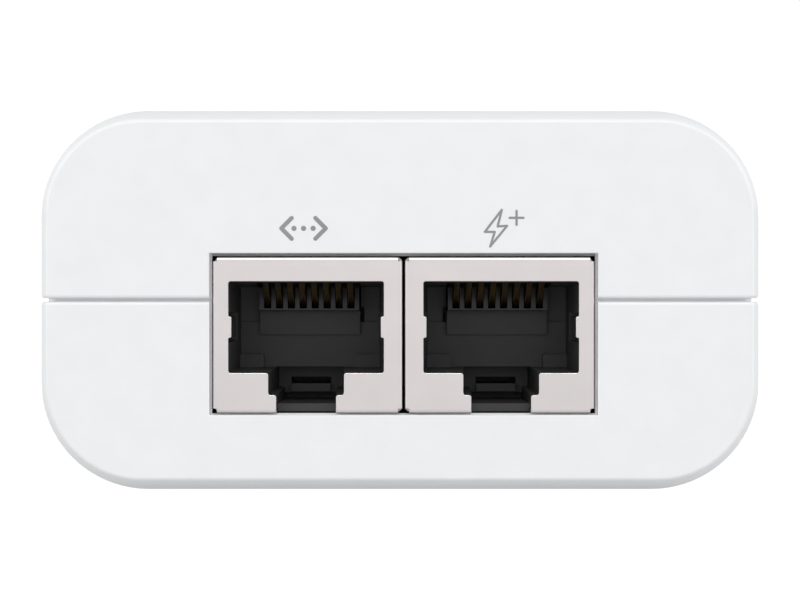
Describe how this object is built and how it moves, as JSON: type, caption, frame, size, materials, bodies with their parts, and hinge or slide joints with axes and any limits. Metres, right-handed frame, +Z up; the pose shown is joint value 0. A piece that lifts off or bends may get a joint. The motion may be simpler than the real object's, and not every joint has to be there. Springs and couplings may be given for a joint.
{
  "type": "PoE injector",
  "caption": "White soft-cornered power-over-Ethernet injector with side-by-side shielded data and powered jacks in front and a mains inlet behind",
  "frame": {"origin": "centre of the bounding box at the flat underside that the case stands on", "axes": "+X to the right seen from the front, +Y from the jack end to the mains inlet end, +Z up"},
  "size_m": [0.061, 0.126, 0.0324],
  "materials": {
    "case": "fine satin white moulding",
    "label": "blank pale printed film",
    "shield": "bright nickel-plated sheet",
    "insulator": "black glass-filled moulding",
    "contact": "gold-plated spring wire",
    "blade": "nickel-plated solid blade",
    "board": "green solder mask on glass laminate",
    "screw": "zinc-plated steel",
    "heatsink": "plain folded sheet",
    "package": "black moulded package with tinned legs",
    "ferrite": "dull dark grey sintered ferrite",
    "winding": "copper winding under yellow tape",
    "copper": "enamelled copper wire",
    "sleeve": "dark blue shrink sleeve",
    "film": "yellow moulded box",
    "disc_blue": "blue dipped coating",
    "disc_green": "green dipped coating"
  },
  "bodies": {
    "injector": {"upper_shell": "case", "lower_shell": "case", "rating_label": "label", "data_jack_shield": "shield", "data_jack_housing": "insulator", "data_jack_contact_insert": "insulator", "poe_jack_shield": "shield", "poe_jack_housing": "insulator", "poe_jack_contact_insert": "insulator", "mains_inlet_housing": "insulator", "mains_inlet_line_pin": "blade", "mains_inlet_neutral_pin": "blade", "mains_inlet_earth_pin": "blade", "circuit_board": "board", "board_screw_1": "screw", "board_screw_2": "screw", "board_screw_3": "screw", "board_screw_4": "screw", "lan_transformer": "package", "poe_controller": "package", "optocoupler": "package", "output_capacitor_1": "sleeve", "output_capacitor_2": "sleeve", "output_heatsink": "heatsink", "output_rectifier": "package", "output_rectifier_screw": "screw", "transformer_core": "ferrite", "transformer_bobbin": "package", "transformer_winding": "winding", "primary_heatsink": "heatsink", "primary_mosfet": "package", "primary_mosfet_screw": "screw", "bulk_capacitor": "sleeve", "bridge_rectifier": "package", "choke_core": "ferrite", "choke_winding_1": "copper", "choke_winding_2": "copper", "film_capacitor": "film", "safety_capacitor": "disc_blue", "thermistor": "disc_green", "mains_fuse": "package"},
    "data_contacts": {"data_jack_contact_1": "contact", "data_jack_contact_2": "contact", "data_jack_contact_3": "contact", "data_jack_contact_4": "contact", "data_jack_contact_5": "contact", "data_jack_contact_6": "contact", "data_jack_contact_7": "contact", "data_jack_contact_8": "contact"},
    "poe_contacts": {"poe_jack_contact_1": "contact", "poe_jack_contact_2": "contact", "poe_jack_contact_3": "contact", "poe_jack_contact_4": "contact", "poe_jack_contact_5": "contact", "poe_jack_contact_6": "contact", "poe_jack_contact_7": "contact", "poe_jack_contact_8": "contact"}
  },
  "joints": [
    {"name": "data_contact_flex", "type": "hinge", "parent": "injector", "child": "data_contacts", "pos_m": [-0.00777, -0.05925, 0.01818], "axis": [1, 0, 0], "range_deg": [0, 14], "stiffness_Nm_per_rad": 0.16},
    {"name": "poe_contact_flex", "type": "hinge", "parent": "injector", "child": "poe_contacts", "pos_m": [0.00837, -0.05925, 0.01818], "axis": [1, 0, 0], "range_deg": [0, 14], "stiffness_Nm_per_rad": 0.16}
  ]
}
